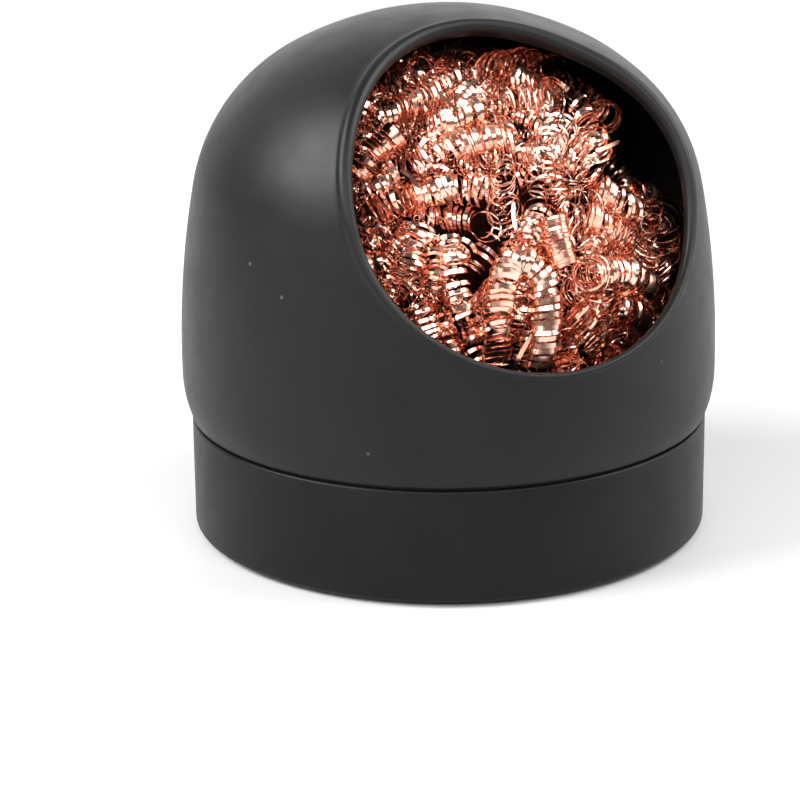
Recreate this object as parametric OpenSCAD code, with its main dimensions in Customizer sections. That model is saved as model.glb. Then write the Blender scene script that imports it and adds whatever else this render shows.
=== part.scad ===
// Tip cleaner for a soldering iron: a domed case with a slanted round mouth, which
// slips over a sleeve in its base cup and holds a ball of curly copper wire wool.
// The origin is the centre of the foot pad's underside, +Z is up, and the mouth
// faces -Y. Dimensions are in millimetres and degrees.

/* [Case] */
// Widest diameter of the dome
case_d = 68; // [67:0.5:70]
// Height from the foot pad's underside to the crown
case_h = 66.5; // [66:0.5:68]
// Height of the cup's rim, where the dome parts from the cup
seam_z = 14.8; // [14.4:0.1:15.2]
// Width of the dark gap between the cup and the dome
seam_gap = 0.4; // [0.3:0.05:0.6]
// Height of the dome's widest ring
belt_z = 22.5; // [22:0.5:23.5]
// Thickness of the dome's wall
dome_t = 1.6; // [1.4:0.1:1.8]
// Outer radius of the cup
cup_r = 32.9; // [32.8:0.1:33.1]
// Thickness of the cup's wall
cup_t = 1.4; // [1.3:0.05:1.4]

/* [Dome outline] */
// Radius of the arc over the crown
crown_r = 42; // [41:0.5:44]
// Radius of the arc round the shoulder
shoulder_r = 24; // [22:0.5:25]
// Radius of the arc down the wall
wall_r = 120; // [110:5:140]
// Radius of the arc that tucks in above the seam
tuck_r = 14; // [13:0.5:16]

/* [Mouth] */
// Radius of the clear opening, inside the bead
mouth_r = 22; // [21.5:0.1:22.2]
// Angle of the mouth's axis above level
mouth_tilt = 32; // [31:0.5:33]
// Distance of the mouth's centre in front of the dome's axis
mouth_y = 21; // [20.8:0.1:21.3]
// Height of the mouth's centre
mouth_z = 47; // [46.6:0.1:47.2]
// Radius of the rolled bead's own round section
bead_r = 0.9; // [0.8:0.05:1]

/* [Base] */
// Thickness of the foot pad, which is also the depth of its recess
pad_t = 2.2; // [2:0.1:2.4]
// Radius of the foot pad
pad_r = 29.6; // [28.5:0.1:29.8]
// Height of the cup's lower edge above the surface it stands on
cup_lift = 0.5; // [0.3:0.1:0.8]
// Thickness of the cup's floor
floor_t = 1.4; // [1.2:0.1:1.6]
// Thickness of the steel ballast plate
ballast_t = 5; // [4:0.5:5]
// Outer radius of the sleeve that the dome slips over
sleeve_r = 31.45; // [31.4:0.01:31.45]
// Thickness of the sleeve's wall
sleeve_t = 2.25; // [2:0.05:2.3]
// Height of the sleeve's top edge
sleeve_top = 22; // [21:0.5:22.5]
// Radius of the friction ring's round section
ring_r = 0.75; // [0.7:0.01:0.75]

/* [Wool] */
// Radius of the ball that the strands' centre lines lie on
ball_r = 28.2; // [27.8:0.1:28.4]
// Height of the ball's centre
ball_z = 32.5; // [32:0.5:33]
// Radius of the wool's dense core
core_r = 27.4; // [26.5:0.1:27.6]
// Outer radius of one curled strand
strand_r = 1.9; // [1.7:0.1:2]

/* [Hidden] */
$fn = 96;

// Curled strands, each as [turn, route]. The route is a list of [u, v] places on the
// ball as seen looking into the mouth, u to the right and v up the mouth's slope.
// The turn then carries the strand round the case's vertical axis, to its sides and back.
STRANDS = [
    // the tall loop at the bottom of the mouth
    [0, [[-6, -17.5], [-6, -13], [-5, -9], [-3.5, -7], [-1.5, -7.5], [0, -10], [0, -14], [-0.5, -18.5]]],
    // the tight coil that stands beside it
    [0, [[2.5, -2.5], [2.5, -5.5], [3, -8]]],
    // the coils that run to the right
    [0, [[7, -9.5], [11, -9], [15, -10], [19, -11.5]]],
    [0, [[4, -12.5], [5.5, -14.5], [8, -17]]],
    [0, [[10, -13], [13.5, -14], [17, -15]]],
    [0, [[7.5, -2.5], [11, -4], [14, -5.5]]],
    [0, [[10.5, 1], [13.5, -1], [16, -1]]],
    [0, [[18, -4.5], [20.5, -2.5], [22.5, -0.5]]],
    // the long coils across the top
    [0, [[2, 19], [5, 20], [9, 20.5], [13, 20]]],
    [0, [[1.5, 14], [4.5, 14], [7.5, 13]]],
    [0, [[-8.5, 11.5], [-5.5, 12], [-2.5, 13]]],
    [0, [[-13, 14.5], [-9, 15.5], [-5, 17.5], [-2, 18.5]]],
    // the bundle that climbs from the left towards the top
    [0, [[-17.5, 8], [-15, 10], [-12, 11.5]]],
    [0, [[-12, 7], [-8, 8], [-4, 8.5], [0.5, 8]]],
    [0, [[-18.5, 2], [-15, 3], [-11.5, 3], [-8, 3.5]]],
    // the curls at the lower left
    [0, [[-13.5, -0.5], [-14.5, -3], [-15.5, -6]]],
    [0, [[-10.5, -3], [-10.5, -6], [-10.5, -9], [-10, -12]]],
    [0, [[-14.5, -9.5], [-14, -12], [-13.5, -13.5]]],
    // the coils that hang in the middle
    [0, [[7.5, 9.5], [5, 7], [3, 4.5], [2.5, 1.5]]],
    [0, [[12.5, 12.5], [12.5, 9], [12, 6]]],
    [0, [[-2.5, 4.5], [-3, 1], [-3.5, -1.5]]],
    // long strands round the sides and the back
    [90, [[-8, 8], [-2, 5], [5, 9], [11, 7]]],
    [130, [[-16, -6], [-8, -1], [0, -5], [8, 0], [16, -4]]],
    [180, [[-9, 7], [-1, 10], [8, 6]]],
    [230, [[-17, -2], [-9, -7], [-1, -2], [7, -6], [15, -1]]],
    [270, [[-11, 7], [-5, 10], [2, 6], [8, 8]]],
];

function strand_name(i) = str("wire_strand_", i < 10 ? "0" : "", i);

function unit(a) = a / norm(a);
function polar(a) = [cos(a), sin(a)];
function angle_of(a) = atan2(a.y, a.x);

// ---- dome outline: four arcs, each tangent to the next ----
dome_r = case_d / 2;
rim_z = seam_z + seam_gap;
crown_c = [0, case_h - crown_r];
wall_c = [dome_r - wall_r, belt_z];
// The shoulder's centre lies where both arcs that it joins are tangent to it.
crown_gap = crown_r - shoulder_r;
wall_gap = wall_r - shoulder_r;
centre_gap = norm(crown_c - wall_c);
along = (wall_gap * wall_gap - crown_gap * crown_gap + centre_gap * centre_gap)
        / (2 * centre_gap);
across = sqrt(wall_gap * wall_gap - along * along);
to_crown = unit(crown_c - wall_c);
shoulder_c = wall_c + along * to_crown + across * [-to_crown.y, to_crown.x];
crown_end = angle_of(shoulder_c - crown_c);
shoulder_end = angle_of(shoulder_c - wall_c);
tuck_drop = 2;
tuck_start = -asin(tuck_drop / wall_r);
tuck_c = wall_c + (wall_r - tuck_r) * polar(tuck_start);

// ---- dome inside ----
bore_r = sleeve_r + 0.35;
land_top = sleeve_top + 1;

// ---- mouth ----
bead_ring = mouth_r + bead_r;
neck_inset = 0.4;
neck_depth = 2.2;
cut_depth = 16;
cut_reach = 20;

// ---- base ----
edge = 0.8;
fine_edge = 0.3;
recess_r = pad_r + 0.4;
cup_in = cup_r - cup_t;
floor_top = pad_t + floor_t;
ballast_top = floor_top + ballast_t;
ballast_r = cup_in - 0.3;
flange_r = cup_r - 0.7;
flange_top = rim_z - 0.05;
groove_z = 18;
groove_w = 2 * ring_r + 0.3;
groove_r = sleeve_r - 1.3;
ring_centre = groove_r + ring_r + 0.05;

// ---- wool ----
core_foot = 6;
ring_sides = 10;
rings_per_step = 6;
mouth_axis = [0, -cos(mouth_tilt), sin(mouth_tilt)];
mouth_up = [0, sin(mouth_tilt), cos(mouth_tilt)];
ball_c = [0, 0, ball_z];

function on_ball(p) = ball_c + p.x * [1, 0, 0] + p.y * mouth_up
    + sqrt(ball_r * ball_r - p.x * p.x - p.y * p.y) * mouth_axis;

// A smooth curve through four points in a row, from the second to the third.
function curve(a, b, c, d, t) =
    0.5 * (2 * b + (c - a) * t + (2 * a - 5 * b + 4 * c - d) * t * t
           + (3 * b - a - 3 * c + d) * t * t * t);

function route_point(route, s) =
    let (last = len(route) - 1,
         k = min(floor(s), last - 1),
         a = route[max(k - 1, 0)],
         d = route[min(k + 2, last)])
    on_ball(curve(a, route[k], route[k + 1], d, s - k));

// One ring of the tube: its sides lie round the route, square to it.
function tube_ring(route, s) =
    let (step = 0.05,
         last = len(route) - 1,
         here = route_point(route, s),
         ahead = route_point(route, min(s + step, last)),
         behind = route_point(route, max(s - step, 0)),
         run = unit(ahead - behind),
         side = unit(cross(run, here - ball_c)),
         out = cross(side, run))
    [for (k = [0 : ring_sides - 1])
        here + strand_r * (cos(360 * k / ring_sides) * out + sin(360 * k / ring_sides) * side)];

// Places along an arc, after its first end.
function arc(centre, r, a0, a1, steps) =
    [for (k = [1 : steps]) centre + r * polar(a0 + (a1 - a0) * k / steps)];

// The dome's half outline from its foot up to the crown, moved inwards by an even
// thickness. A foot above the tuck starts on the wall's arc, or else on the tuck's.
function dome_outline(inset, foot_z) =
    let (on_wall = foot_z > tuck_c.y,
         centre = on_wall ? wall_c : tuck_c,
         r = (on_wall ? wall_r : tuck_r) - inset,
         foot_a = asin((foot_z - centre.y) / r))
    concat(
        [[0, foot_z], centre + r * polar(foot_a)],
        on_wall ? [] : arc(tuck_c, r, foot_a, tuck_start, 5),
        arc(wall_c, wall_r - inset, on_wall ? foot_a : tuck_start, shoulder_end, 8),
        arc(shoulder_c, shoulder_r - inset, shoulder_end, crown_end, 14),
        arc(crown_c, crown_r - inset, crown_end, 90, 9)
    );

// Places its children in the mouth's plane, with +Z along the mouth's axis.
module at_mouth() {
    translate([0, -mouth_y, mouth_z]) rotate([90 - mouth_tilt, 0, 0]) children();
}

module dome_shell() {
    color("#333438") difference() {
        union() {
            difference() {
                rotate_extrude() polygon(dome_outline(0, rim_z));
                rotate_extrude() polygon(dome_outline(dome_t, land_top));
                translate([0, 0, rim_z - 1]) cylinder(r = bore_r, h = land_top - rim_z + 2);
            }
            at_mouth() {
                rotate_extrude() translate([bead_ring, 0]) circle(bead_r, $fn = 32);
                translate([0, 0, -neck_depth])
                    cylinder(r = bead_ring + bead_r - neck_inset, h = neck_depth);
            }
        }
        at_mouth() translate([0, 0, -cut_depth])
            cylinder(r = mouth_r + neck_inset, h = cut_depth + cut_reach);
    }
}

// A turned cup with a floor above a recess for the foot pad.
module base_cup() {
    color("#2f3034") rotate_extrude() polygon([
        [0, pad_t],
        [recess_r, pad_t],
        [recess_r, cup_lift],
        [cup_r - edge, cup_lift],
        [cup_r, cup_lift + edge],
        [cup_r, seam_z - fine_edge],
        [cup_r - fine_edge, seam_z],
        [cup_in, seam_z],
        [cup_in, floor_top],
        [0, floor_top]
    ]);
}

module foot_pad() {
    color("#1c1c1d") rotate_extrude() polygon([
        [0, 0],
        [pad_r - fine_edge, 0],
        [pad_r, fine_edge],
        [pad_r, pad_t],
        [0, pad_t]
    ]);
}

module ballast_plate() {
    color("#8a8c8f") rotate_extrude() polygon([
        [0, floor_top],
        [ballast_r - fine_edge, floor_top],
        [ballast_r, floor_top + fine_edge],
        [ballast_r, ballast_top - fine_edge],
        [ballast_r - fine_edge, ballast_top],
        [0, ballast_top]
    ]);
}

// The sleeve stands on the ballast inside the cup. Its flange caps the cup's rim, and
// its groove holds the friction ring.
module inner_sleeve() {
    color("#18181a") difference() {
        union() {
            translate([0, 0, ballast_top]) cylinder(r = sleeve_r, h = sleeve_top - ballast_top);
            translate([0, 0, seam_z]) cylinder(r = flange_r, h = flange_top - seam_z);
        }
        translate([0, 0, ballast_top - 1])
            cylinder(r = sleeve_r - sleeve_t, h = sleeve_top - ballast_top + 2);
        translate([0, 0, groove_z - groove_w / 2]) difference() {
            cylinder(r = flange_r + 1, h = groove_w);
            translate([0, 0, -1]) cylinder(r = groove_r, h = groove_w + 2);
        }
    }
}

module friction_ring() {
    color("#101011") translate([0, 0, groove_z])
        rotate_extrude() translate([ring_centre, 0]) circle(ring_r, $fn = 32);
}

// The wool's dense middle: a round bun that fills the sleeve and stands up as a ball.
module wire_core() {
    foot_z = ballast_top + 0.1;
    color("#7a3f2a") rotate_extrude() intersection() {
        union() {
            translate([0, ball_z]) circle(core_r);
            translate([0, foot_z + core_foot]) square([core_r, ball_z - foot_z - core_foot]);
            translate([0, foot_z]) square([core_r - core_foot, core_foot + 1]);
            translate([core_r - core_foot, foot_z + core_foot]) circle(core_foot);
        }
        translate([0, foot_z]) square([core_r, case_h]);
    }
}

// A strand's curls, as the plain round tube that they fill.
module wire_strand(i) {
    route = STRANDS[i - 1][1];
    count = (len(route) - 1) * rings_per_step;
    points = [for (k = [0 : count]) each tube_ring(route, k / rings_per_step)];
    walls = [
        for (k = [0 : count - 1], j = [0 : ring_sides - 1])
            let (a = k * ring_sides + j,
                 b = k * ring_sides + (j + 1) % ring_sides)
            each [[a, a + ring_sides, b + ring_sides], [a, b + ring_sides, b]]
    ];
    start_cap = [for (j = [0 : ring_sides - 1]) j];
    end_cap = [for (j = [ring_sides - 1 : -1 : 0]) count * ring_sides + j];
    color("#c47a55") rotate([0, 0, STRANDS[i - 1][0]])
        polyhedron(points, concat(walls, [start_cap, end_cap]));
}

dome_shell();
base_cup();
foot_pad();
ballast_plate();
inner_sleeve();
friction_ring();
wire_core();
for (i = [1 : len(STRANDS)])
    wire_strand(i);
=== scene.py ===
"""Looks of a soldering tip cleaner: satin dark case, weighted base and curly copper wool."""
import math

import bmesh
import bpy
import numpy as np
from mathutils import Matrix, Vector


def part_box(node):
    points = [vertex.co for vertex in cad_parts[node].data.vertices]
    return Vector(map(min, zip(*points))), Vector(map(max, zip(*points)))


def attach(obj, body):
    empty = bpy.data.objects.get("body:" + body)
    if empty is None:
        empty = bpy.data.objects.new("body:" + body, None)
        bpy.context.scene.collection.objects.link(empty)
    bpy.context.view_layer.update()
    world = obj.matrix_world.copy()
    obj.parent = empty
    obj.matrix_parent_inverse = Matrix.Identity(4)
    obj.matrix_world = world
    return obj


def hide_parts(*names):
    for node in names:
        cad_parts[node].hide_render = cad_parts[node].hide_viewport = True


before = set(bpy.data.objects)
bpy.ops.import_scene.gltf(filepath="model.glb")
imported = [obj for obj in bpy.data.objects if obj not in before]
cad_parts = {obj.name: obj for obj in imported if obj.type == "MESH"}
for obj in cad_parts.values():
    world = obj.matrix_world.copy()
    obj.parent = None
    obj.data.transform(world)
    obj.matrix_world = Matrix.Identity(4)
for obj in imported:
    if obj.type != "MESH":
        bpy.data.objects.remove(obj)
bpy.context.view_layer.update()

MM = 0.001
rng = np.random.default_rng(11)

# ---- dimensions, in millimetres ----


def box_mm(node):
    low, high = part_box(node)
    return np.array(low) / MM, np.array(high) / MM


dome_low, dome_high = box_mm("dome_shell")
cup_low, cup_high = box_mm("base_cup")
_, pad_high = box_mm("foot_pad")
plate_low, plate_high = box_mm("ballast_plate")
sleeve_low, sleeve_high = box_mm("inner_sleeve")
ring_low, ring_high = box_mm("friction_ring")

# The dome: a crown, a shoulder and a nearly upright wall that tucks in at the seam, and a bore
# that slips over the sleeve.
DOME_R = (dome_high[0] - dome_low[0]) / 2
RIM_Z = dome_low[2]
CASE_H = 66.5
BELT_Z = 22.5
CROWN_R = 42.0
SHOULDER_R = 24.0
WALL_R = 120.0
TUCK_R = 14.0
TUCK_DROP = 2.0
TUCK_START = math.radians(-40)
DOME_T = 1.6
BORE_R = 31.8
BORE_CHAMFER = 0.25
LAND_TOP = sleeve_high[2] + 1.0
RIM_ROLL = 0.4

# The parts in the cup.
CUP_T = 1.4
PAD_GAP = 0.4
SLEEVE_R = 31.45
SLEEVE_T = 2.25
RING_INNER_R = ring_high[0] - (ring_high[2] - ring_low[2])
RING_Z = (ring_low[2] + ring_high[2]) / 2
RING_HALF = (ring_high[2] - ring_low[2]) / 2

# The mouth's plane: its axis looks out to the front, above level.
MOUTH_TILT = math.radians(32)
MOUTH_CENTRE = np.array([0.0, -21.65, 47.4])
MOUTH_AXIS = np.array([0.0, -math.cos(MOUTH_TILT), math.sin(MOUTH_TILT)])
MOUTH_UP = np.array([0.0, math.sin(MOUTH_TILT), math.cos(MOUTH_TILT)])
RIGHT = np.array([1.0, 0.0, 0.0])
MOUTH_R = 22.1
LIP_DEPTH = 1.1

# The ball that the wool's strands lie on, and how far out the wool may reach.
BALL_CENTRE = np.array([0.0, 0.0, 32.5])
BALL_R = 28.2
WOOL_LIMIT = 31.2


# ---- small vector helpers ----


def unit(v):
    return v / np.linalg.norm(v, axis=-1, keepdims=True)


def smooth(t):
    t = np.clip(t, 0.0, 1.0)
    return t * t * (3 - 2 * t)


def arc(centre, radius, start, end, steps):
    """Places along an arc in the half plane, both ends among them. Angles in radians."""
    turns = np.linspace(start, end, steps + 1)
    return np.stack([centre[0] + radius * np.cos(turns), centre[1] + radius * np.sin(turns)], 1)


# ---- mesh making ----


def new_object(name, vertices_mm, faces, material, body, creases=None):
    """A smooth mesh. faces is one array of corner numbers, or a list of such arrays with unlike widths."""
    groups = [np.asarray(group) for group in (faces if isinstance(faces, list) else [faces])]
    vertices = np.asarray(vertices_mm, float) * MM
    sizes = np.concatenate([np.full(len(group), group.shape[1]) for group in groups])
    corners = np.concatenate([group.ravel() for group in groups])
    mesh = bpy.data.meshes.new(name)
    mesh.vertices.add(len(vertices))
    mesh.vertices.foreach_set("co", vertices.ravel())
    mesh.loops.add(len(corners))
    mesh.loops.foreach_set("vertex_index", corners.astype(np.int32))
    mesh.polygons.add(len(sizes))
    mesh.polygons.foreach_set("loop_start", (np.cumsum(sizes) - sizes).astype(np.int32))
    mesh.update(calc_edges=True)
    mesh.polygons.foreach_set("use_smooth", np.ones(len(sizes), bool))
    if creases is not None:
        ends = np.empty(2 * len(mesh.edges), np.int32)
        mesh.edges.foreach_get("vertices", ends)
        mesh.edges.foreach_set("use_edge_sharp", creases(ends.reshape(-1, 2)))
    mesh.materials.append(material)
    mesh.update()
    piece = bpy.data.objects.new(name, mesh)
    bpy.context.scene.collection.objects.link(piece)
    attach(piece, body)
    return piece


def grid_faces(rows, columns, closed_rows):
    """Quads between rings of points, each ring closed. closed_rows joins the last ring to the first."""
    last = rows if closed_rows else rows - 1
    i = np.arange(last)[:, None]
    j = np.arange(columns)[None, :]
    a = i * columns + j
    b = i * columns + (j + 1) % columns
    c = ((i + 1) % rows) * columns + (j + 1) % columns
    d = ((i + 1) % rows) * columns + j
    return np.stack([a, b, c, d], -1).reshape(-1, 4)


def rounded(corners, steps=5):
    """A closed outline from (r, z, radius) corners, each corner turned by its radius."""
    out = []
    count = len(corners)
    for k, (r, z, radius) in enumerate(corners):
        here = np.array([r, z])
        before = unit(np.array(corners[k - 1][:2]) - here)
        after = unit(np.array(corners[(k + 1) % count][:2]) - here)
        if radius <= 0:
            out.append(here)
            continue
        half = math.acos(np.clip(before @ after, -1, 1)) / 2
        reach = radius / math.tan(half)
        centre = here + unit(before + after) * radius / math.sin(half)
        first = here + before * reach - centre
        final = here + after * reach - centre
        sweep = math.pi - 2 * half
        for s in range(steps + 1):
            turn = s / steps
            mix = (math.sin((1 - turn) * sweep) * first + math.sin(turn * sweep) * final) / math.sin(sweep)
            out.append(centre + mix)
    return np.array(out)


def face_outwards(piece, weld):
    """Turns every face outwards. weld first joins the places that fall together on the axis."""
    shape = bmesh.new()
    shape.from_mesh(piece.data)
    if weld:
        bmesh.ops.remove_doubles(shape, verts=shape.verts, dist=1e-7)
        bmesh.ops.dissolve_degenerate(shape, edges=shape.edges, dist=1e-8)
    bmesh.ops.recalc_face_normals(shape, faces=shape.faces)
    shape.to_mesh(piece.data)
    shape.free()


def lathe(name, outline, material, body, nodes, columns=256):
    """A closed outline of (r, z) turned round the axis. Places at r = 0 close on the axis."""
    turns = np.linspace(0, 2 * math.pi, columns, endpoint=False)
    rings = np.stack([outline[:, :1] * np.cos(turns), outline[:, :1] * np.sin(turns),
                      np.repeat(outline[:, 1:], columns, 1)], -1)
    on_axis = outline[0, 0] == 0
    faces = grid_faces(len(outline), columns, not on_axis)
    piece = new_object(name, rings.reshape(-1, 3), faces, material, body)
    face_outwards(piece, True)
    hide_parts(*nodes)


# ---- materials ----


class Nodes:
    """A short way to lay out one material's nodes."""

    def __init__(self, name):
        self.material = bpy.data.materials.new(name)
        self.material.use_nodes = True
        self.tree = self.material.node_tree
        self.tree.nodes.clear()
        self.output = self.add("ShaderNodeOutputMaterial")
        self.shader = self.add("ShaderNodeBsdfPrincipled")
        self.link(self.shader, "BSDF", self.output, "Surface")
        self.place = self.add("ShaderNodeTexCoord")

    def add(self, kind, **settings):
        node = self.tree.nodes.new(kind)
        for key, value in settings.items():
            if key in node.inputs:
                node.inputs[key].default_value = value
            else:
                setattr(node, key, value)
        return node

    def link(self, source, output, target, socket):
        self.tree.links.new(source.outputs[output], target.inputs[socket])

    def noise(self, scale, detail=3.0, roughness=0.5):
        node = self.add("ShaderNodeTexNoise", Scale=scale, Detail=detail, Roughness=roughness)
        self.link(self.place, "Object", node, "Vector")
        return node

    def ramp(self, source, output, stops):
        """Colours or greys against a value: stops are (place, colour)."""
        node = self.add("ShaderNodeValToRGB")
        band = node.color_ramp
        while len(band.elements) < len(stops):
            band.elements.new(0.5)
        for element, (place, colour) in zip(band.elements, stops):
            element.position = place
            element.color = (*colour, 1.0) if len(colour) == 3 else (colour[0],) * 3 + (1.0,)
        self.link(source, output, node, "Fac")
        return node

    def mix(self, share_node, share_output, a, b):
        """Colour a where the share is 0 and b where it is 1. a and b are nodes with a Color output.
        The Mix node's sockets share their names, so they go by number: its colour is output 2."""
        node = self.add("ShaderNodeMix", data_type="RGBA")
        self.tree.links.new(share_node.outputs[share_output], node.inputs[0])
        self.tree.links.new(a.outputs["Color"], node.inputs[6])
        self.tree.links.new(b.outputs["Color"], node.inputs[7])
        return node

    def bump(self, source, output, strength, depth_mm):
        node = self.add("ShaderNodeBump", Strength=strength, Distance=depth_mm * MM)
        self.link(source, output, node, "Height")
        self.link(node, "Normal", self.shader, "Normal")
        return node


def painted(name, dark, light, rough_low, rough_high, gloss):
    """Satin powder paint: faint cloudiness, fine orange peel and a few pale dust specks."""
    m = Nodes(name)
    cloud = m.noise(90.0, 4.0, 0.6)
    base = m.ramp(cloud, "Fac", [(0.3, dark), (0.7, light)])
    dust_cells = m.add("ShaderNodeTexVoronoi", Scale=210.0, Randomness=1.0)
    m.link(m.place, "Object", dust_cells, "Vector")
    speck = m.ramp(dust_cells, "Distance", [(0.0, (1,)), (0.05, (0.5,)), (0.065, (0,))])
    rare = m.ramp(m.noise(70.0, 2.0), "Fac", [(0.6, (0,)), (0.66, (1,))])
    both = m.add("ShaderNodeMath", operation="MULTIPLY")
    m.link(speck, "Color", both, 0)
    m.link(rare, "Color", both, 1)
    dust = m.ramp(cloud, "Fac", [(0.0, (0.06, 0.058, 0.056)), (1.0, (0.09, 0.088, 0.085))])
    colour = m.mix(both, "Value", base, dust)
    m.tree.links.new(colour.outputs[2], m.shader.inputs["Base Color"])
    rough = m.ramp(m.noise(260.0, 3.0), "Fac", [(0.3, (rough_low,)), (0.7, (rough_high,))])
    m.link(rough, "Color", m.shader, "Roughness")
    m.shader.inputs["Specular IOR Level"].default_value = gloss
    m.bump(m.noise(1500.0, 2.0, 0.45), "Fac", 0.12, 0.03)
    return m.material


def copper(name, dark, light, rough_low, rough_high):
    """Thin bright copper ribbon, with slight tarnish that changes along it. Given near-black colours, it
    paints the shade deep in the wool instead.
    """
    m = Nodes(name)
    m.shader.inputs["Metallic"].default_value = 1.0
    m.shader.inputs["Specular Tint"].default_value = (1.0, 0.72, 0.6, 1.0)
    colour = m.ramp(m.noise(240.0, 3.0, 0.6), "Fac", [(0.3, dark), (0.65, light)])
    m.link(colour, "Color", m.shader, "Base Color")
    rough = m.ramp(m.noise(700.0, 3.0), "Fac", [(0.3, (rough_low,)), (0.7, (rough_high,))])
    m.link(rough, "Color", m.shader, "Roughness")
    m.bump(m.noise(3500.0, 2.0), "Fac", 0.15, 0.02)
    return m.material


def rubber(name, grey):
    """Dull black rubber with a fine grain."""
    m = Nodes(name)
    colour = m.ramp(m.noise(400.0, 4.0), "Fac", [(0.3, (grey * 0.8,)), (0.7, (grey * 1.25,))])
    m.link(colour, "Color", m.shader, "Base Color")
    rough = m.ramp(m.noise(900.0, 2.0), "Fac", [(0.3, (0.7,)), (0.7, (0.85,))])
    m.link(rough, "Color", m.shader, "Roughness")
    m.bump(m.noise(2600.0, 2.0), "Fac", 0.4, 0.05)
    return m.material


def steel(name):
    """Turned mild steel: rings from the lathe and a cool grey that varies a little."""
    m = Nodes(name)
    m.shader.inputs["Metallic"].default_value = 1.0
    colour = m.ramp(m.noise(120.0, 4.0), "Fac", [(0.3, (0.42, 0.42, 0.43)), (0.7, (0.55, 0.55, 0.56))])
    m.link(colour, "Color", m.shader, "Base Color")
    rings = m.add("ShaderNodeTexWave", wave_type="RINGS", rings_direction="Z", Scale=420.0, Distortion=0.4)
    m.link(m.place, "Object", rings, "Vector")
    rough = m.ramp(rings, "Fac", [(0.0, (0.3,)), (1.0, (0.42,))])
    m.link(rough, "Color", m.shader, "Roughness")
    m.bump(rings, "Fac", 0.2, 0.02)
    return m.material


CASE_PAINT = painted("case_paint", (0.0055, 0.0053, 0.0052), (0.008, 0.0078, 0.0077), 0.38, 0.45, 0.20)
# The base's paint is the case's, made darker as painted shade, for the cup standing in darker light than
# the dome. It is also a little less glossy.
SHADED_BASE_PAINT = painted("base_paint", (0.0045, 0.0043, 0.0042), (0.007, 0.0068, 0.0067), 0.38, 0.45, 0.14)
COPPER = copper("copper_wire", (0.88, 0.43, 0.30), (0.97, 0.63, 0.51), 0.14, 0.25)
# Near-black copper for the wool's middle: painted shade, standing for the shade deep inside the wool.
COPPER_PAINTED_SHADE = copper("packed_wool", (0.004, 0.0014, 0.001), (0.016, 0.005, 0.003), 0.5, 0.65)
FOOT_RUBBER = rubber("foot_rubber", 0.02)
RING_RUBBER = rubber("ring_rubber", 0.014)
SLEEVE_PLASTIC = rubber("sleeve_plastic", 0.012)
BALLAST_STEEL = steel("ballast_steel")


# ---- dome ----


def dome_arcs(inset):
    """The dome's outline from its tuck to its crown, as (r, z) places, moved in by inset."""
    crown_c = np.array([0.0, CASE_H - CROWN_R])
    wall_c = np.array([DOME_R - WALL_R, BELT_Z])
    gap = np.linalg.norm(crown_c - wall_c)
    to_crown = (crown_c - wall_c) / gap
    crown_gap = CROWN_R - SHOULDER_R
    wall_gap = WALL_R - SHOULDER_R
    along = (wall_gap ** 2 - crown_gap ** 2 + gap ** 2) / (2 * gap)
    across = math.sqrt(wall_gap ** 2 - along ** 2)
    shoulder_c = wall_c + along * to_crown + across * np.array([-to_crown[1], to_crown[0]])
    crown_end = math.atan2(*(shoulder_c - crown_c)[::-1])
    shoulder_end = math.atan2(*(shoulder_c - wall_c)[::-1])
    tuck_end = -math.asin(TUCK_DROP / WALL_R)
    tuck_c = wall_c + (WALL_R - TUCK_R) * np.array([math.cos(tuck_end), math.sin(tuck_end)])
    return np.concatenate([
        arc(tuck_c, TUCK_R - inset, TUCK_START, tuck_end, 400)[:-1],
        arc(wall_c, WALL_R - inset, tuck_end, shoulder_end, 600)[:-1],
        arc(shoulder_c, SHOULDER_R - inset, shoulder_end, crown_end, 900)[:-1],
        arc(crown_c, CROWN_R - inset, crown_end, math.pi / 2, 600),
    ])


class Skin:
    """One face of the dome, found along any direction from a place inside it."""

    CENTRE = np.array([0.0, 0.0, 25.0])

    def __init__(self, inset):
        outline = dome_arcs(inset)
        rise = outline[:, 1] - self.CENTRE[2]
        lean = np.arctan2(outline[:, 0], rise)
        order = np.argsort(lean)
        self.leans = lean[order]
        self.reaches = np.hypot(outline[:, 0], rise)[order]
        self.outline = outline

    def reach(self, direction):
        lean = np.arctan2(np.hypot(direction[..., 0], direction[..., 1]), direction[..., 2])
        return np.interp(lean, self.leans, self.reaches)

    def at(self, direction):
        direction = unit(direction)
        return self.CENTRE + direction * self.reach(direction)[..., None]

    def onto(self, point):
        return self.at(point - self.CENTRE)

    def height(self, point):
        """How far a place lies outside the skin, along the line from the centre."""
        offset = point - self.CENTRE
        return np.linalg.norm(offset, axis=-1) - self.reach(unit(offset))

    def normal(self, point):
        """Outward normal at places on the skin."""
        step = 0.02
        around = unit(np.stack([-point[..., 1], point[..., 0], np.zeros(point.shape[:-1])], -1))
        out = unit(point - self.CENTRE)
        down = np.cross(around, out)
        along = self.onto(point + step * down) - self.onto(point - step * down)
        side = self.onto(point + step * around) - self.onto(point - step * around)
        n = unit(np.cross(along, side))
        return n * np.sign((n * out).sum(-1, keepdims=True))


def slerp(a, b, t):
    angle = np.arccos(np.clip((a * b).sum(-1, keepdims=True), -1, 1))
    return (np.sin((1 - t) * angle) * a + np.sin(t * angle) * b) / np.sin(angle)


def mouth_edge(skin, clock, ring):
    """Where a ring round the mouth, projected along the mouth's axis, meets the outer skin."""
    spoke = np.sin(clock)[:, None] * RIGHT + np.cos(clock)[:, None] * MOUTH_UP
    flat = MOUTH_CENTRE + ring[:, None] * spoke
    search = 8.0
    low = np.full(len(clock), -search)
    high = np.full(len(clock), search)
    for _ in range(48):
        middle = (low + high) / 2
        outside = skin.height(flat + middle[:, None] * MOUTH_AXIS) > 0
        high = np.where(outside, middle, high)
        low = np.where(outside, low, middle)
    return flat + low[:, None] * MOUTH_AXIS


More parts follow.
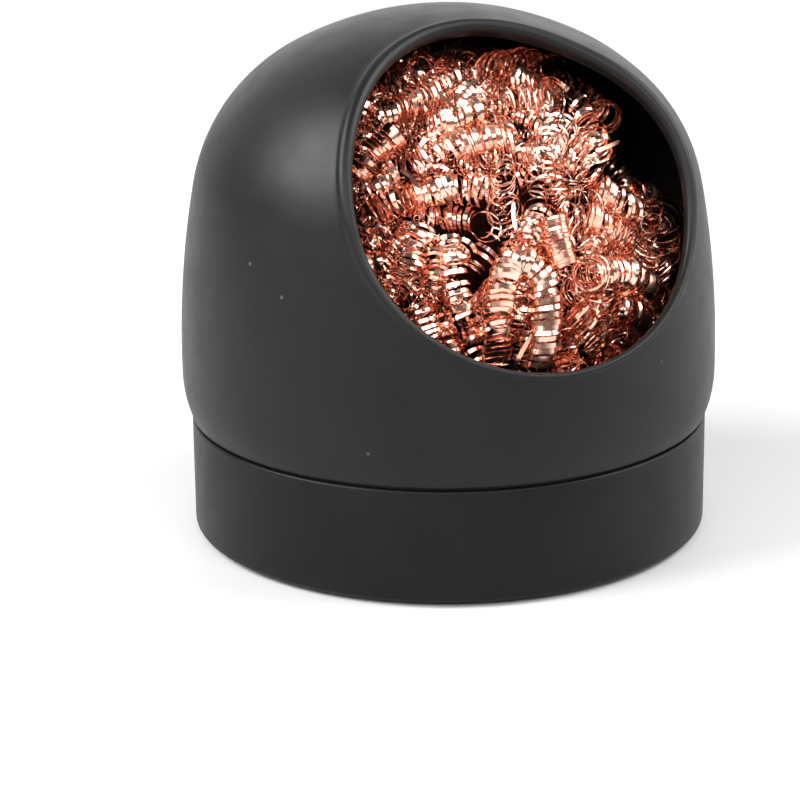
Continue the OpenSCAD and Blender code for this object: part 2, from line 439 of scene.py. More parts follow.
# Rolling the bead has drawn the skin in a little at one hour of the mouth: the hour, how far
# round and how far out from the bead it reaches, how deep it is, and how far back it fades out.
EASE_HOUR = math.radians(36)
EASE_ROUND = math.radians(30)
EASE_OUT = 9.0
EASE_DEPTH = 0.85
EASE_BACK = 14.0
EASE_FADE = 6.0

# The bead's radius, how proud it stands, the rounding of the crease behind it and the depth
# of the lip inside it: each at its least, and what it gains where it is greatest.
BEAD_R = 0.48
BEAD_R_GAIN = 0.44
PROUD = 0.08
PROUD_GAIN = 0.42
CREASE_R = 0.14
CREASE_R_GAIN = 0.7
LIP_LEAST = 0.5
NECK_ROLL = 0.4

# The bead lies further out near the top of the mouth, round this hour.
RAISED_HOUR = math.radians(-12)
RAISED_ROUND = math.radians(62)
RAISED_BY = 0.6


def eased(points):
    """Places on the outside of the case, drawn in where rolling the bead has pulled the skin."""
    offset = points - MOUTH_CENTRE
    across, up = offset @ RIGHT, offset @ MOUTH_UP
    out = (np.hypot(across, up) - MOUTH_R - 1) / EASE_OUT
    turn = (np.arctan2(across, up) - EASE_HOUR) / EASE_ROUND
    fade = smooth((offset @ MOUTH_AXIS + EASE_BACK) / EASE_FADE)
    pull = EASE_DEPTH * np.exp(-out ** 2 - turn ** 2) * fade
    return points - pull[:, None] * unit(points - Skin.CENTRE)


def mouth_bead(outer, clock):
    """The ring that the outer skin ends on, then the rolled bead's rings, from the crease
    behind it over its crown and down inside the mouth, and the ring that the inner skin ends on."""
    # It stands proud round the upper half of the mouth, behind a tight crease that softens
    # to the left, and lower down it shrinks to a rounded edge.
    upper = smooth((np.cos(clock) + 1.2) / 1.7)
    bead_r = (BEAD_R + BEAD_R_GAIN * upper)[:, None]
    proud = (PROUD + PROUD_GAIN * upper)[:, None]
    depth = (LIP_LEAST + (LIP_DEPTH - LIP_LEAST) * smooth(np.cos(clock)))[:, None]
    fillet = (CREASE_R + CREASE_R_GAIN * smooth(-np.sin(clock) * 1.3))[:, None]
    off_top = (clock - RAISED_HOUR + math.pi) % (2 * math.pi) - math.pi
    raised = RAISED_BY * smooth(1 - np.abs(off_top) / RAISED_ROUND)
    edge = mouth_edge(outer, clock, MOUTH_R + bead_r[:, 0] + raised)
    normal = outer.normal(edge)
    inward = MOUTH_CENTRE - edge
    inward = unit(inward - (inward * normal).sum(-1, keepdims=True) * normal)
    sink = bead_r - proud
    spread = np.sqrt((bead_r + fillet) ** 2 - (fillet + sink) ** 2)

    def section(along, up):
        return edge + along * inward + up * normal

    rows = []
    touch = np.arctan2(spread, fillet + sink)
    for k in range(1, 9):
        turn = touch * k / 8
        rows.append(section(-spread + fillet * np.sin(turn), fillet - fillet * np.cos(turn)))
    spoke = -(np.sin(clock)[:, None] * RIGHT + np.cos(clock)[:, None] * MOUTH_UP)
    finish = np.arctan2((spoke * inward).sum(-1), (spoke * normal).sum(-1))[:, None]
    for k in range(1, 25):
        turn = -touch + (finish + touch) * k / 24
        rows.append(section(bead_r * np.sin(turn), -sink + bead_r * np.cos(turn)))
    neck = rows[-1]
    for k in range(1, 7):
        rows.append(neck - MOUTH_AXIS * depth * k / 6)
    for turn in np.radians([30, 60, 90, 120, 150]):
        down = MOUTH_AXIS * (depth + NECK_ROLL * math.sin(turn))
        rows.append(neck - down - spoke * NECK_ROLL * (1 - math.cos(turn)))
    return section(-spread, 0.0), rows, section(-bead_r - 0.6, -DOME_T)


def level_ring(clock, r, z):
    return np.stack([r * np.sin(clock), r * np.cos(clock), np.full(len(clock), z)], -1)


def skin_rows(skin, foot, edge, count):
    """Rings up one face of the dome, from a level ring at its foot to a ring round the mouth."""
    start = unit(foot - Skin.CENTRE)
    end = unit(edge - Skin.CENTRE)
    return [skin.at(slerp(start, end, t)) for t in np.linspace(0, 1, count)]


def dome_shell():
    """The case: outer skin, rolled bead round the mouth, inner skin, and the bore over the sleeve."""
    columns = 384
    outer = Skin(0.0)
    inner = Skin(DOME_T)
    clock = np.linspace(0, 2 * math.pi, columns, endpoint=False)
    outer_edge, bead_rows, inner_edge = mouth_bead(outer, clock)

    foot_z = RIM_Z + RIM_ROLL
    foot_r = np.interp(foot_z, outer.outline[:, 1], outer.outline[:, 0])
    rim = [level_ring(clock, foot_r - RIM_ROLL + RIM_ROLL * math.cos(a), foot_z - RIM_ROLL * math.sin(a))
           for a in np.radians([90, 72, 54, 36, 18])]
    outer_rows = skin_rows(outer, level_ring(clock, foot_r, foot_z), outer_edge, 120)
    land_r = np.interp(LAND_TOP, inner.outline[:, 1], inner.outline[:, 0])
    inner_rows = skin_rows(inner, level_ring(clock, land_r, LAND_TOP), inner_edge, 70)[::-1]
    bore = [level_ring(clock, BORE_R, LAND_TOP), level_ring(clock, BORE_R, RIM_Z + BORE_CHAMFER),
            level_ring(clock, BORE_R + BORE_CHAMFER, RIM_Z)]
    rings = rim + [eased(row) for row in outer_rows + bead_rows] + inner_rows + bore
    faces = grid_faces(len(rings), columns, True)
    piece = new_object("dome_case", np.concatenate(rings), faces, CASE_PAINT, "dome")
    face_outwards(piece, False)
    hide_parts("dome_shell")


# ---- base ----


def base_cup():
    cup_r = cup_high[0]
    cup_in = cup_r - CUP_T
    floor_top = plate_low[2]
    recess_r = pad_high[0] + PAD_GAP
    lathe("base_cup_turned", rounded([
        (0, pad_high[2], 0), (recess_r, pad_high[2], 0.2), (recess_r, cup_low[2], 0.25),
        (cup_r, cup_low[2], 0.8), (cup_r, cup_high[2], 0.3), (cup_in, cup_high[2], 0.2),
        (cup_in, floor_top, 0.3), (0, floor_top, 0),
    ]), SHADED_BASE_PAINT, "base", ["base_cup"], 320)


def disc(r, low, high, foot_round, top_round):
    return rounded([(0, low, 0), (r, low, foot_round), (r, high, top_round), (0, high, 0)])


def foot_pad():
    outline = disc(pad_high[0], 0, pad_high[2], 0.35, 0.1)
    lathe("foot_pad_disc", outline, FOOT_RUBBER, "base", ["foot_pad"], 192)


def ballast_plate():
    outline = disc(plate_high[0], plate_low[2], plate_high[2], 0.4, 0.4)
    lathe("ballast_disc", outline, BALLAST_STEEL, "base", ["ballast_plate"], 192)


def inner_sleeve():
    """The sleeve, its flange at the seam, and the groove that holds the friction ring."""
    sleeve_in = SLEEVE_R - SLEEVE_T
    flange_r = sleeve_high[0]
    flange_top = RIM_Z - 0.05
    groove_r = RING_INNER_R - 0.05
    groove_low = RING_Z - (RING_HALF + 0.15)
    groove_high = RING_Z + (RING_HALF + 0.15)
    lathe("sleeve_tube", rounded([
        (sleeve_in, sleeve_low[2], 0.2), (SLEEVE_R, sleeve_low[2], 0.2), (SLEEVE_R, cup_high[2], 0.02),
        (flange_r, cup_high[2], 0.05), (flange_r, flange_top, 0.05), (SLEEVE_R, flange_top, 0.02),
        (SLEEVE_R, groove_low, 0.1), (groove_r, groove_low, 0.1), (groove_r, groove_high, 0.1),
        (SLEEVE_R, groove_high, 0.1), (SLEEVE_R, sleeve_high[2], 0.5), (sleeve_in, sleeve_high[2], 0.5),
    ]), SLEEVE_PLASTIC, "base", ["inner_sleeve"], 256)


def friction_ring():
    outline = arc((ring_high[0] - RING_HALF, RING_Z), RING_HALF, 0, 2 * math.pi, 24)[:-1]
    lathe("friction_ring_cord", outline, RING_RUBBER, "ring", ["friction_ring"], 256)


# ---- wool ----

# The strands' routes repeat the model's own: a turn about the case's axis, then [u, v]
# places on the ball as seen looking into the mouth, in millimetres.
STRANDS = [
    # the tall loop at the bottom of the mouth
    (0, [(-6, -17.5), (-6, -13), (-5, -9), (-3.5, -7), (-1.5, -7.5), (0, -10), (0, -14), (-0.5, -18.5)]),
    # the tight coil that stands beside it
    (0, [(2.5, -2.5), (2.5, -5.5), (3, -8)]),
    # the coils that run to the right
    (0, [(7, -9.5), (11, -9), (15, -10), (19, -11.5)]),
    (0, [(4, -12.5), (5.5, -14.5), (8, -17)]),
    (0, [(10, -13), (13.5, -14), (17, -15)]),
    (0, [(7.5, -2.5), (11, -4), (14, -5.5)]),
    (0, [(10.5, 1), (13.5, -1), (16, -1)]),
    (0, [(18, -4.5), (20.5, -2.5), (22.5, -0.5)]),
    # the long coils across the top
    (0, [(2, 19), (5, 20), (9, 20.5), (13, 20)]),
    (0, [(1.5, 14), (4.5, 14), (7.5, 13)]),
    (0, [(-8.5, 11.5), (-5.5, 12), (-2.5, 13)]),
    (0, [(-13, 14.5), (-9, 15.5), (-5, 17.5), (-2, 18.5)]),
    # the bundle that climbs from the left towards the top
    (0, [(-17.5, 8), (-15, 10), (-12, 11.5)]),
    (0, [(-12, 7), (-8, 8), (-4, 8.5), (0.5, 8)]),
    (0, [(-18.5, 2), (-15, 3), (-11.5, 3), (-8, 3.5)]),
    # the curls at the lower left
    (0, [(-13.5, -0.5), (-14.5, -3), (-15.5, -6)]),
    (0, [(-10.5, -3), (-10.5, -6), (-10.5, -9), (-10, -12)]),
    (0, [(-14.5, -9.5), (-14, -12), (-13.5, -13.5)]),
    # the coils that hang in the middle
    (0, [(7.5, 9.5), (5, 7), (3, 4.5), (2.5, 1.5)]),
    (0, [(12.5, 12.5), (12.5, 9), (12, 6)]),
    (0, [(-2.5, 4.5), (-3, 1), (-3.5, -1.5)]),
    # long strands round the sides and the back
    (90, [(-8, 8), (-2, 5), (5, 9), (11, 7)]),
    (130, [(-16, -6), (-8, -1), (0, -5), (8, 0), (16, -4)]),
    (180, [(-9, 7), (-1, 10), (8, 6)]),
    (230, [(-17, -2), (-9, -7), (-1, -2), (7, -6), (15, -1)]),
    (270, [(-11, 7), (-5, 10), (2, 6), (8, 8)]),
]
STRAND_R = 1.9


def about_axis(points, degrees):
    a = math.radians(degrees)
    turn = np.array([[math.cos(a), -math.sin(a), 0], [math.sin(a), math.cos(a), 0], [0, 0, 1]])
    return points @ turn.T


# The wool's own right, up and front. It sits a little turned from the mouth.
WOOL_TURN = -1.3
WOOL_FRAME = about_axis(np.stack([RIGHT, MOUTH_UP, MOUTH_AXIS]), WOOL_TURN)


def through(places, per_step):
    """A smooth curve through places, with per_step points from one to the next."""
    places = np.asarray(places, float)
    out = []
    last = len(places) - 1
    for k in range(last):
        a, b, c, d = places[max(k - 1, 0)], places[k], places[k + 1], places[min(k + 2, last)]
        for t in np.arange(per_step) / per_step:
            out.append(0.5 * (2 * b + (c - a) * t + (2 * a - 5 * b + 4 * c - d) * t * t
                              + (3 * b - a - 3 * c + d) * t ** 3))
    out.append(places[last])
    return np.array(out)


def on_ball(uv, radius=BALL_R):
    """The place on the ball at [u, v] as seen looking into the mouth, moved out to a radius."""
    w = np.sqrt(np.maximum(BALL_R ** 2 - (uv ** 2).sum(-1), 0))
    place = np.concatenate([uv, w[..., None]], -1) @ WOOL_FRAME
    return BALL_CENTRE + place * (radius / BALL_R)


def evenly(points, spacing):
    """The same line with points a set distance apart."""
    run = np.concatenate([[0], np.cumsum(np.linalg.norm(np.diff(points, axis=0), axis=1))])
    count = max(int(run[-1] / spacing), 2)
    places = np.linspace(0, run[-1], count + 1)
    return np.stack([np.interp(places, run, points[:, k]) for k in range(3)], 1), run[-1]


def sway(local, count, knots):
    """Smooth noise: chosen values at evenly spaced knots, and an eased walk between them."""
    values = local.normal(0, 1, knots + 1)
    place = np.linspace(0, knots, count)
    k = np.minimum(place.astype(int), knots - 1)
    ease = smooth(place - k)
    return values[k] * (1 - ease) + values[k + 1] * ease


def lifted_start(line, rise):
    """The line with its start bent outwards, so that the coil's open end faces out of the ball."""
    out = unit(line[0] - BALL_CENTRE)
    back = unit(line[0] - line[3])
    turns = np.linspace(math.pi / 2, 0, 12, endpoint=False)[:, None]
    bend = line[0] + rise * (np.sin(turns) * back + (1 - np.cos(turns)) * out)
    return np.concatenate([bend, line])


def inside_wool(places):
    """The same places, with those that stand out too far drawn in to the wool's limit."""
    offset = places - BALL_CENTRE
    far = np.linalg.norm(offset, axis=1, keepdims=True)
    return BALL_CENTRE + offset * np.minimum(1, WOOL_LIMIT / far)


class Ribbons:
    """Collects curled ribbons, and turns them into pieces of about a set number of faces."""

    LIMIT = 90000
    SIDES = 3

    # How far a winding strays from a true helix, how its turns slant, and how a ribbon ends.
    PACE_STRAY = 0.34
    RADIUS_STRAY = 0.07
    SLOW_STRAY = 0.04
    CENTRE_STRAY = 0.09
    CLIMB_SLANT = 0.55
    OWN_SLANT = 0.25
    THINNEST = 0.08
    END_TAPER = 6

    def __init__(self):
        self.rings = []
        self.walls = []
        self.ends = []
        self.count = 0
        self.faces = 0

    def curl(self, line, radius, pitch, width, thick, seed, lean=0.3, per_turn=16, rough=1.0,
             crescent=0.22):
        """One ribbon wound round a line. radius is one number, or one for each end of the line.
        rough scales how far its turns stray from a true helix. crescent narrows the ribbon where
        it turns inwards. The turns slant a way of their own, and on a line that runs up or down
        the mouth their outer sides lie higher."""
        local = np.random.default_rng(seed)
        fine, length = evenly(line, pitch / per_turn)
        count = len(fine)
        tangent = unit(np.gradient(fine, axis=0))
        out = fine - BALL_CENTRE
        side = unit(np.cross(tangent, out))
        out = np.cross(side, tangent)
        turns = max(int(length / pitch), 2)
        pace = np.clip(1 + self.PACE_STRAY * rough * sway(local, count, max(turns // 2, 2)), 0.45, 1.8)
        angle = local.uniform(0, 6.28) + 2 * math.pi * length / pitch * np.cumsum(pace) / count
        radius = np.linspace(*radius, count) if isinstance(radius, tuple) else np.full(count, radius)
        stray = self.RADIUS_STRAY * rough * sway(local, count, turns)
        reach = radius * (1 + stray + self.SLOW_STRAY * rough * sway(local, count, 2))
        radial = np.cos(angle)[:, None] * out + np.sin(angle)[:, None] * side
        centre = fine + reach[:, None] * radial
        for direction in (out, side, tangent):
            drift = self.CENTRE_STRAY * rough * radius * sway(local, count, turns)
            centre = centre + drift[:, None] * direction
        tip = lean * (local.choice([-1, 1]) + 0.7 * sway(local, count, turns))
        facing = 1 - crescent + crescent * np.cos(angle + 0.3 * sway(local, count, 3))
        slant = self.CLIMB_SLANT * tangent @ MOUTH_UP + self.OWN_SLANT * local.choice([-1, 1])
        centre = centre + (min(rough, 1) * slant * reach * np.cos(angle))[:, None] * tangent
        widths = width * facing * (1 + 0.12 * sway(local, count, turns))
        self.band(inside_wool(centre), radial, widths, thick, tip)

    def band(self, centre, radial, width, thick, lean):
        """A thin closed ribbon along a line: its flat face looks along radial, then leans."""
        count = len(centre)
        run = unit(np.gradient(centre, axis=0))
        across = unit(np.cross(radial, run))
        face = np.cross(run, across)
        lean = np.reshape(lean, (-1, 1))
        leant = np.cos(lean) * across + np.sin(lean) * face
        face = np.cos(lean) * face - np.sin(lean) * across
        from_end = np.minimum(np.arange(count), count - 1 - np.arange(count))
        taper = np.minimum(1.0, 0.3 + from_end / self.END_TAPER)
        half = (np.maximum(width, self.THINNEST) / 2 * taper)[:, None]
        ring = np.stack([centre + half * leant, centre - half * leant, centre - thick * face], 1)
        self.rings.append(ring.reshape(-1, 3))
        self.walls.append(grid_faces(count, self.SIDES, False) + self.count)
        last = self.count + self.SIDES * (count - 1)
        self.ends.append([[self.count + 2, self.count + 1, self.count], [last, last + 1, last + 2]])
        self.count += self.SIDES * count
        self.faces += self.SIDES * (count - 1)

    def full(self):
        return self.faces > self.LIMIT

    def piece(self, name, nodes=()):
        faces = [np.concatenate(self.walls), np.concatenate(self.ends)]
        piece = new_object(name, np.concatenate(self.rings), faces, COPPER, "base",
                           lambda ends: np.abs(ends[:, 0] - ends[:, 1]) == self.SIDES)
        if nodes:
            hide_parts(*nodes)


def strand_line(turn, route):
    return about_axis(on_ball(through(route, 12)), turn)


# How each named strand is wound where it differs from the rest: pitch, ribbon width,
# coil radius, and roughness of winding.
WINDINGS = {
    1: (0.74, 0.60, 1.85, 0.75),
    2: (0.40, 0.35, 1.66, 0.3),
    3: (0.55, 0.36, 1.90, 0.7),
    8: (1.15, 0.20, 3.10, 0.7),
    9: (0.90, 0.62, 2.05, 0.8),
    10: (0.80, 0.28, 1.90, 1.2),
    11: (0.72, 0.50, 1.85, 1.0),
    12: (0.75, 0.52, 1.85, 1.0),
    13: (0.70, 0.54, 1.85, 1.0),
    15: (0.72, 0.52, 1.85, 1.0),
    16: (0.85, 0.48, 1.90, 1.2),
    17: (0.66, 0.44, 1.75, 1.2),
    19: (0.85, 0.26, 1.90, 1.3),
    21: (0.90, 0.26, 1.80, 1.3),
}

# The open end of the third strand: a cone of loops that faces the front left, its place as
# [u, v], how far it runs in and out from there, its radius at both ends, and its room.
END_LOOPS = 3
END_PLACE = (6.4, -9.4)
END_FACING = unit(np.array([-0.4, -0.86, 0.3]))
END_RUN = (-1.6, 2.4)
END_RADII = (0.7, 2.55)
END_ROOM = 3.2

# A ribbon's thickness, where its width doesn't ask for less.
THICK = 0.06

# Loose bits of flat ribbon that lie across the curls and catch the light: [u, v] places,
# width, and how far out they lie.
GLINT = unit(np.array([-0.18, -0.87, 0.46]))
STRAYS = [
    ([(-3.4, 21.6), (-1.2, 22.0), (1.0, 21.2)], 0.30, 1.4),
    ([(-2.7, -0.4), (-3.1, -2.0), (-3.1, -3.6)], 0.42, 1.8),
    ([(13.9, 6.4), (11.4, 5.4), (9.4, 4.8)], 0.48, 2.1),
    ([(-6.4, 15.0), (-5.8, 12.8), (-5.4, 11.4)], 0.42, 1.8),
    ([(-13.4, 6.0), (-12.6, 4.6), (-12.2, 3.2)], 0.42, 1.8),
    ([(-2.6, -14.5), (-4.2, -16.8), (-4.6, -18.0)], 0.50, 2.3),
]


def hero_strands():
    """The strands that the model names, each as its own real ribbon."""
    for number, (turn, route) in enumerate(STRANDS, 1):
        usual = (0.58 + 0.06 * (number % 4), 0.40 + 0.05 * (number % 3), 1.80, 1.1)
        pitch, width, radius, rough = WINDINGS.get(number, usual)
        ribbons = Ribbons()
        ribbons.curl(strand_line(turn, route), radius, pitch, width, min(THICK, width / 3), number,
                     lean=0.3 * rough, per_turn=20, rough=rough, crescent=min(0.22, rough / 4))
        if number == END_LOOPS:
            mouth = on_ball(np.array(END_PLACE))
            line = mouth + np.linspace(*END_RUN, 12)[:, None] * END_FACING
            ribbons.curl(line, END_RADII, 0.46, 0.17, 0.05, number, lean=0.75, per_turn=36, rough=0.5,
                         crescent=0.0)
        ribbons.piece("curl_%02d" % number, ["wire_strand_%02d" % number])


class Crowd:
    """Keeps the strands' places, so that a new strand can be kept off the ones that are there."""

    def __init__(self):
        self.points = np.zeros((0, 3))
        self.radii = np.zeros(0)

    def add(self, line, radius):
        self.points = np.concatenate([self.points, line])
        self.radii = np.concatenate([self.radii, np.full(len(line), radius)])

    def clear(self, line, radius, share):
        """Whether a coil along a line keeps at least this share of the full gap to the others."""
        gap = np.linalg.norm(self.points[None] - line[:, None], axis=-1)
        return (gap > share * (radius + self.radii[None])).all()


# The layers of smaller curls: close ones from the surface in, then springy ones that lie over
# them, then fine ones in what room is left. Each has its number of attempts, the depths it lies
# at, its coil radii, pitches and ribbon widths, how much its coils may sink into others (1 is
# not at all), and how far it turns from its neighbours.
LAYERS = [
    (5000, (0.0, 1.1), (1.10, 1.80), (0.55, 0.85), (0.40, 0.56), 0.68, 0.35),
    (5000, (1.5, 3.2), (1.30, 1.90), (0.55, 0.85), (0.34, 0.50), 0.52, 0.70),
    (3500, (3.6, 5.4), (1.50, 2.00), (0.65, 0.95), (0.34, 0.52), 0.48, 1.00),
    (5200, (-0.3, 2.4), (0.80, 2.30), (1.20, 3.00), (0.11, 0.20), 0.37, 1.80),
    (2800, (0.2, 4.8), (0.60, 1.20), (0.55, 0.95), (0.13, 0.24), 0.30, 1.60),
]
SPRINGY_PITCH = 1.0
LENGTHS = (4, 13)
LIFTED_SHARE = 0.2
LIFTED_BY = 1.4

# This share of the attempts starts at the front, within this reach of the mouth's axis.
FRONT_SHARE = 0.62
FRONT_REACH = 26.5

# Curls stay above the cup's floor, and inside the sleeve below its top.
WOOL_FOOT_Z = 12.0
SLEEVE_TOP_Z = 24.0
SLEEVE_ROOM = 26.5

# The dark gap near the middle and the loose stretch up and to its right, as [u, v] centres
# and half widths, and the empty corner at the upper right. In the gap and the loose stretch
# curls lie only below these depths, and of those in the loose stretch a share is left out.
HOLE = (-6.9, -3.0)
HOLE_HALF = (4.0, 5.5)
HOLE_DEPTH = 4.3
CORNER_U = 12.6
CORNER_V = (2.0, 18.0)
LOOSE = (4.5, 7.0)
LOOSE_HALF = (8.5, 7.0)
LOOSE_DEPTH = 2.6
SPRINGY_LOOSE_DEPTH = 1.0
LOOSE_THINNING = 0.7


def in_ellipse(uv, centre, half):
    return np.hypot((uv[:, 0] - centre[0]) / half[0], (uv[:, 1] - centre[1]) / half[1]) < 1


def in_hollow(uv, depth, springy):
    """Whether a curl would fill one of the places where few or none lie."""
    hole = in_ellipse(uv, HOLE, HOLE_HALF) & (depth < HOLE_DEPTH)
    corner = (uv[:, 0] > CORNER_U) & (uv[:, 1] > CORNER_V[0]) & (uv[:, 1] < CORNER_V[1])
    loose = in_ellipse(uv, LOOSE, LOOSE_HALF) & (depth < (SPRINGY_LOOSE_DEPTH if springy else LOOSE_DEPTH))
    return (hole | corner | loose).any()


def loose_walk(start, heading, length, depth):
    """A gently bending line over the ball, at one depth below its surface."""
    step = 0.5
    line = []
    place = start
    bend = rng.normal(0, 0.06)
    for _ in range(int(length / step)):
        line.append(BALL_CENTRE + (place - BALL_CENTRE) * (BALL_R - depth) / BALL_R)
        out = unit(place - BALL_CENTRE)
        bend += rng.normal(0, 0.02)
        heading = heading + bend * np.cross(out, heading)
        heading = unit(heading - (heading @ out) * out)
        place = BALL_CENTRE + BALL_R * unit(place + step * heading - BALL_CENTRE)
    return np.array(line)


def filler_start():
    """A place on the ball for a curl to start from, or None."""
    if rng.random() >= FRONT_SHARE:
        return BALL_CENTRE + BALL_R * unit(rng.normal(size=3))
    uv = rng.uniform(-FRONT_REACH, FRONT_REACH, 2)
    return on_ball(uv) if np.hypot(*uv) <= FRONT_REACH else None


def leaves_case(line):
    """Whether a line runs under the wool's foot or into the sleeve."""
    low = line[:, 2] < SLEEVE_TOP_Z
    return (line[:, 2] < WOOL_FOOT_Z).any() or (np.hypot(line[low, 0], line[low, 1]) > SLEEVE_ROOM).any()


def filler_line(layer, crowd, hero_points, hero_runs):
    """One more curl's line and coil radius, or None where there is no room for it. It lies
    roughly the way the nearest named strand does."""
    _, depths, radii, pitches, _, share, stray = layer
    start = filler_start()
    if start is None:
        return None
    depth = rng.uniform(*depths)
    radius = rng.uniform(*radii)
    if not crowd.clear(BALL_CENTRE + (start[None] - BALL_CENTRE) * (1 - depth / BALL_R), radius, share):
        return None
    near = np.argmin(np.linalg.norm(hero_points - start, axis=1))
    heading = hero_runs[near] + rng.normal(0, stray, 3)
    out = unit(start - BALL_CENTRE)
    heading = unit(heading - (heading @ out) * out)
    line = loose_walk(start, heading, rng.uniform(*LENGTHS), depth)
    if leaves_case(line):
        return None
    seen = (line - BALL_CENTRE) @ WOOL_FRAME.T
    in_front = (seen[:, 2] > 0).any()
    if in_front and in_hollow(seen[:, :2], depth, pitches[0] > SPRINGY_PITCH):
        return None
    if not crowd.clear(line[::2], radius, share):
        return None
    loose = in_front and in_ellipse(seen[:, :2], LOOSE, LOOSE_HALF).any()
    if loose and rng.random() < LOOSE_THINNING:
        return None
    return line, radius


def stray_ribbons(ribbons):
    for route, width, out in STRAYS:
        centre = on_ball(through(route, 14), BALL_R + out)
        ribbons.band(centre, unit(GLINT + 0.3 * unit(centre - BALL_CENTRE)), width, THICK, 0.0)


def filler_strands(crowd, heroes):
    """Shorter curls packed under and between the named ones, and the loose bits on top."""
    hero_points = np.concatenate(heroes)
    hero_runs = np.concatenate([unit(np.gradient(hero, axis=0)) for hero in heroes])
    ribbons = Ribbons()
    stray_ribbons(ribbons)
    pieces = 0
    seed = 100
    for layer in LAYERS:
        attempts, pitches, widths = layer[0], layer[3], layer[4]
        for _ in range(attempts):
            seed += 1
            found = filler_line(layer, crowd, hero_points, hero_runs)
            if found is None:
                continue
            line, radius = found
            crowd.add(line[::2], radius)
            pitch = rng.uniform(*pitches)
            width = rng.uniform(*widths)
            if rng.random() < LIFTED_SHARE:
                line = lifted_start(line, LIFTED_BY)
            ribbons.curl(line, radius, pitch, width, min(THICK, width / 3), seed, lean=0.35, per_turn=14)
            if ribbons.full():
                pieces += 1
                ribbons.piece("wool_curls_%02d" % pieces)
                ribbons = Ribbons()
    if ribbons.count:
        ribbons.piece("wool_curls_%02d" % (pieces + 1))


def wool_core():
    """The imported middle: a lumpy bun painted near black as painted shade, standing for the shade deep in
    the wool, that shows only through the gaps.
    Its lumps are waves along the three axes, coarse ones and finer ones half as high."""
    core_r = 22.6
    lump_h = 0.5
    foot = plate_high[2] + 0.2
    ball = bmesh.new()
    bmesh.ops.create_icosphere(ball, subdivisions=6, radius=1.0)
    places = np.array([v.co[:] for v in ball.verts])
    lump = (np.sin(places[:, 0] * 17 + 2) * np.sin(places[:, 1] * 19 + 1) * np.sin(places[:, 2] * 15)
            + 0.5 * np.sin(places[:, 0] * 41) * np.sin(places[:, 1] * 37 + 2) * np.sin(places[:, 2] * 43))
    places = places * (core_r + lump_h * lump)[:, None] + BALL_CENTRE
    # The underside is flat, but for a hair's difference that keeps its places apart in height.
    places[:, 2] = np.maximum(places[:, 2], foot + 0.02 * np.arange(len(places)) / len(places))
    faces = np.array([[v.index for v in f.verts] for f in ball.faces])
    ball.free()
    piece = new_object("wool_middle", places, faces, COPPER_PAINTED_SHADE, "base")
    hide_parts("wire_core")


def wool():
    wool_core()
    hero_strands()
    crowd = Crowd()
    heroes = [strand_line(turn, route) for turn, route in STRANDS]
    for hero in heroes:
        crowd.add(hero, STRAND_R)
    crowd.add(on_ball(np.array([END_PLACE])), END_ROOM)
    filler_strands(crowd, heroes)


# ---- stage ----


def stage():
    floor_mesh = bpy.data.meshes.new("floor")
    floor_mesh.from_pydata([(-3, -3, 0), (3, -3, 0), (3, 3, 0), (-3, 3, 0)], [], [(0, 1, 2, 3)])
    floor = bpy.data.objects.new("floor", floor_mesh)
    bpy.context.scene.collection.objects.link(floor)
    m = Nodes("pale_floor")
    tone = m.ramp(m.noise(3.0, 2.0), "Fac", [(0.0, (0.52, 0.52, 0.52)), (1.0, (0.55, 0.55, 0.55))])
    m.link(tone, "Color", m.shader, "Base Color")
    m.shader.inputs["Roughness"].default_value = 0.6
    floor_mesh.materials.append(m.material)


def grade(tree, source, output, span, levels):
    """A value that goes from one level to the other as the source crosses a span."""
    node = tree.nodes.new("ShaderNodeMapRange")
    for socket, value in zip(("From Min", "From Max", "To Min", "To Max"), span + levels):
        node.inputs[socket].default_value = value
    tree.links.new(source.outputs[output], node.inputs["Value"])
    return node


def studio():
    """White behind the object and to its right, dim in front: a lit backdrop in a dark room."""
    world = bpy.data.worlds.new("studio")
    world.use_nodes = True
    tree = world.node_tree
    place = tree.nodes.new("ShaderNodeTexCoord")
    parts = tree.nodes.new("ShaderNodeSeparateXYZ")
    behind = tree.nodes.new("ShaderNodeVectorMath")
    behind.operation = "DOT_PRODUCT"
    behind.inputs[1].default_value = (0.8, 0.6, 0.0)
    tree.links.new(place.outputs["Generated"], parts.inputs[0])
    tree.links.new(place.outputs["Generated"], behind.inputs[0])
    band = grade(tree, behind, "Value", (-0.3, 0.9), (0.09, 1.7))
    band.interpolation_type = "SMOOTHSTEP"
    low = grade(tree, parts, "Z", (0.35, 0.9), (1.0, 0.35))
    both = tree.nodes.new("ShaderNodeMath")
    both.operation = "MULTIPLY"
    tree.links.new(band.outputs[0], both.inputs[0])
    tree.links.new(low.outputs[0], both.inputs[1])
    backdrop = tree.nodes["Background"]
    backdrop.inputs["Color"].default_value = (1.0, 0.995, 0.99, 1.0)
    tree.links.new(both.outputs[0], backdrop.inputs["Strength"])
    bpy.context.scene.world = world
    bpy.context.scene.view_settings.view_transform = "Standard"


LIGHT_AIM = Vector((0, 0, 0.035))


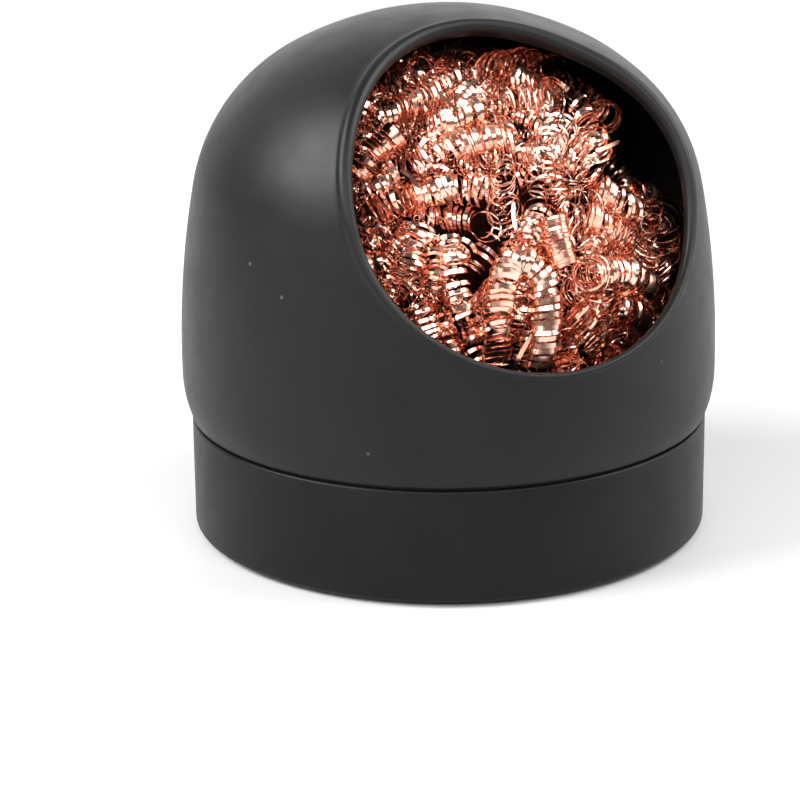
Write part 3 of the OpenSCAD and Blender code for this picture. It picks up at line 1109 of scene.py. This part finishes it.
def soft_light(name, place, width, height, power):
    """A rectangular softbox, in metres and watts, turned towards the middle of the case."""
    data = bpy.data.lights.new(name, "AREA")
    data.shape = "RECTANGLE"
    data.size = width
    data.size_y = height
    data.energy = power
    light = bpy.data.objects.new(name, data)
    bpy.context.scene.collection.objects.link(light)
    place = Vector(place)
    light.location = place
    light.rotation_euler = (LIGHT_AIM - place).to_track_quat("-Z", "Y").to_euler()


def lights():
    soft_light("key", (-0.66, 0.12, 0.6), 0.55, 0.55, 14.0)
    soft_light("front", (-0.20, -0.74, 0.58), 1.15, 0.42, 8.3)
    soft_light("left", (-0.76, -0.3, 0.48), 0.5, 0.5, 2.6)
    soft_light("right", (0.64, -0.30, 0.64), 0.55, 0.55, 8.0)
    soft_light("low right", (0.80, -0.30, 0.30), 0.6, 0.4, 1.6)


# The camera: its bearing about the case, its height angle, its small roll, its distance, what
# it looks at and its lens. Lengths are in metres, and the lens is in millimetres.
CAMERA_BEARING = math.radians(-24.35)
CAMERA_RISE = math.radians(18.07)
CAMERA_ROLL = math.radians(-0.66)
CAMERA_DISTANCE = 0.3668
CAMERA_AIM = Vector((-0.00743, -0.0013, 0.017))
CAMERA_LENS = 129.7


def camera():
    data = bpy.data.cameras.new("camera")
    data.lens = CAMERA_LENS
    data.sensor_width = 36
    data.clip_start = 0.01
    eye = bpy.data.objects.new("camera", data)
    bpy.context.scene.collection.objects.link(eye)
    level = math.cos(CAMERA_RISE)
    back = Vector((math.sin(CAMERA_BEARING) * level, -math.cos(CAMERA_BEARING) * level,
                   math.sin(CAMERA_RISE)))
    across = Vector((math.cos(CAMERA_BEARING), math.sin(CAMERA_BEARING), 0))
    up = back.cross(across)
    right = math.cos(CAMERA_ROLL) * across + math.sin(CAMERA_ROLL) * up
    up = -math.sin(CAMERA_ROLL) * across + math.cos(CAMERA_ROLL) * up
    place = CAMERA_AIM + back * CAMERA_DISTANCE
    eye.matrix_world = Matrix(((right.x, up.x, back.x, place.x), (right.y, up.y, back.y, place.y),
                               (right.z, up.z, back.z, place.z), (0, 0, 0, 1)))
    bpy.context.scene.camera = eye


dome_shell()
base_cup()
foot_pad()
ballast_plate()
inner_sleeve()
friction_ring()
wool()
stage()
studio()
lights()
camera()
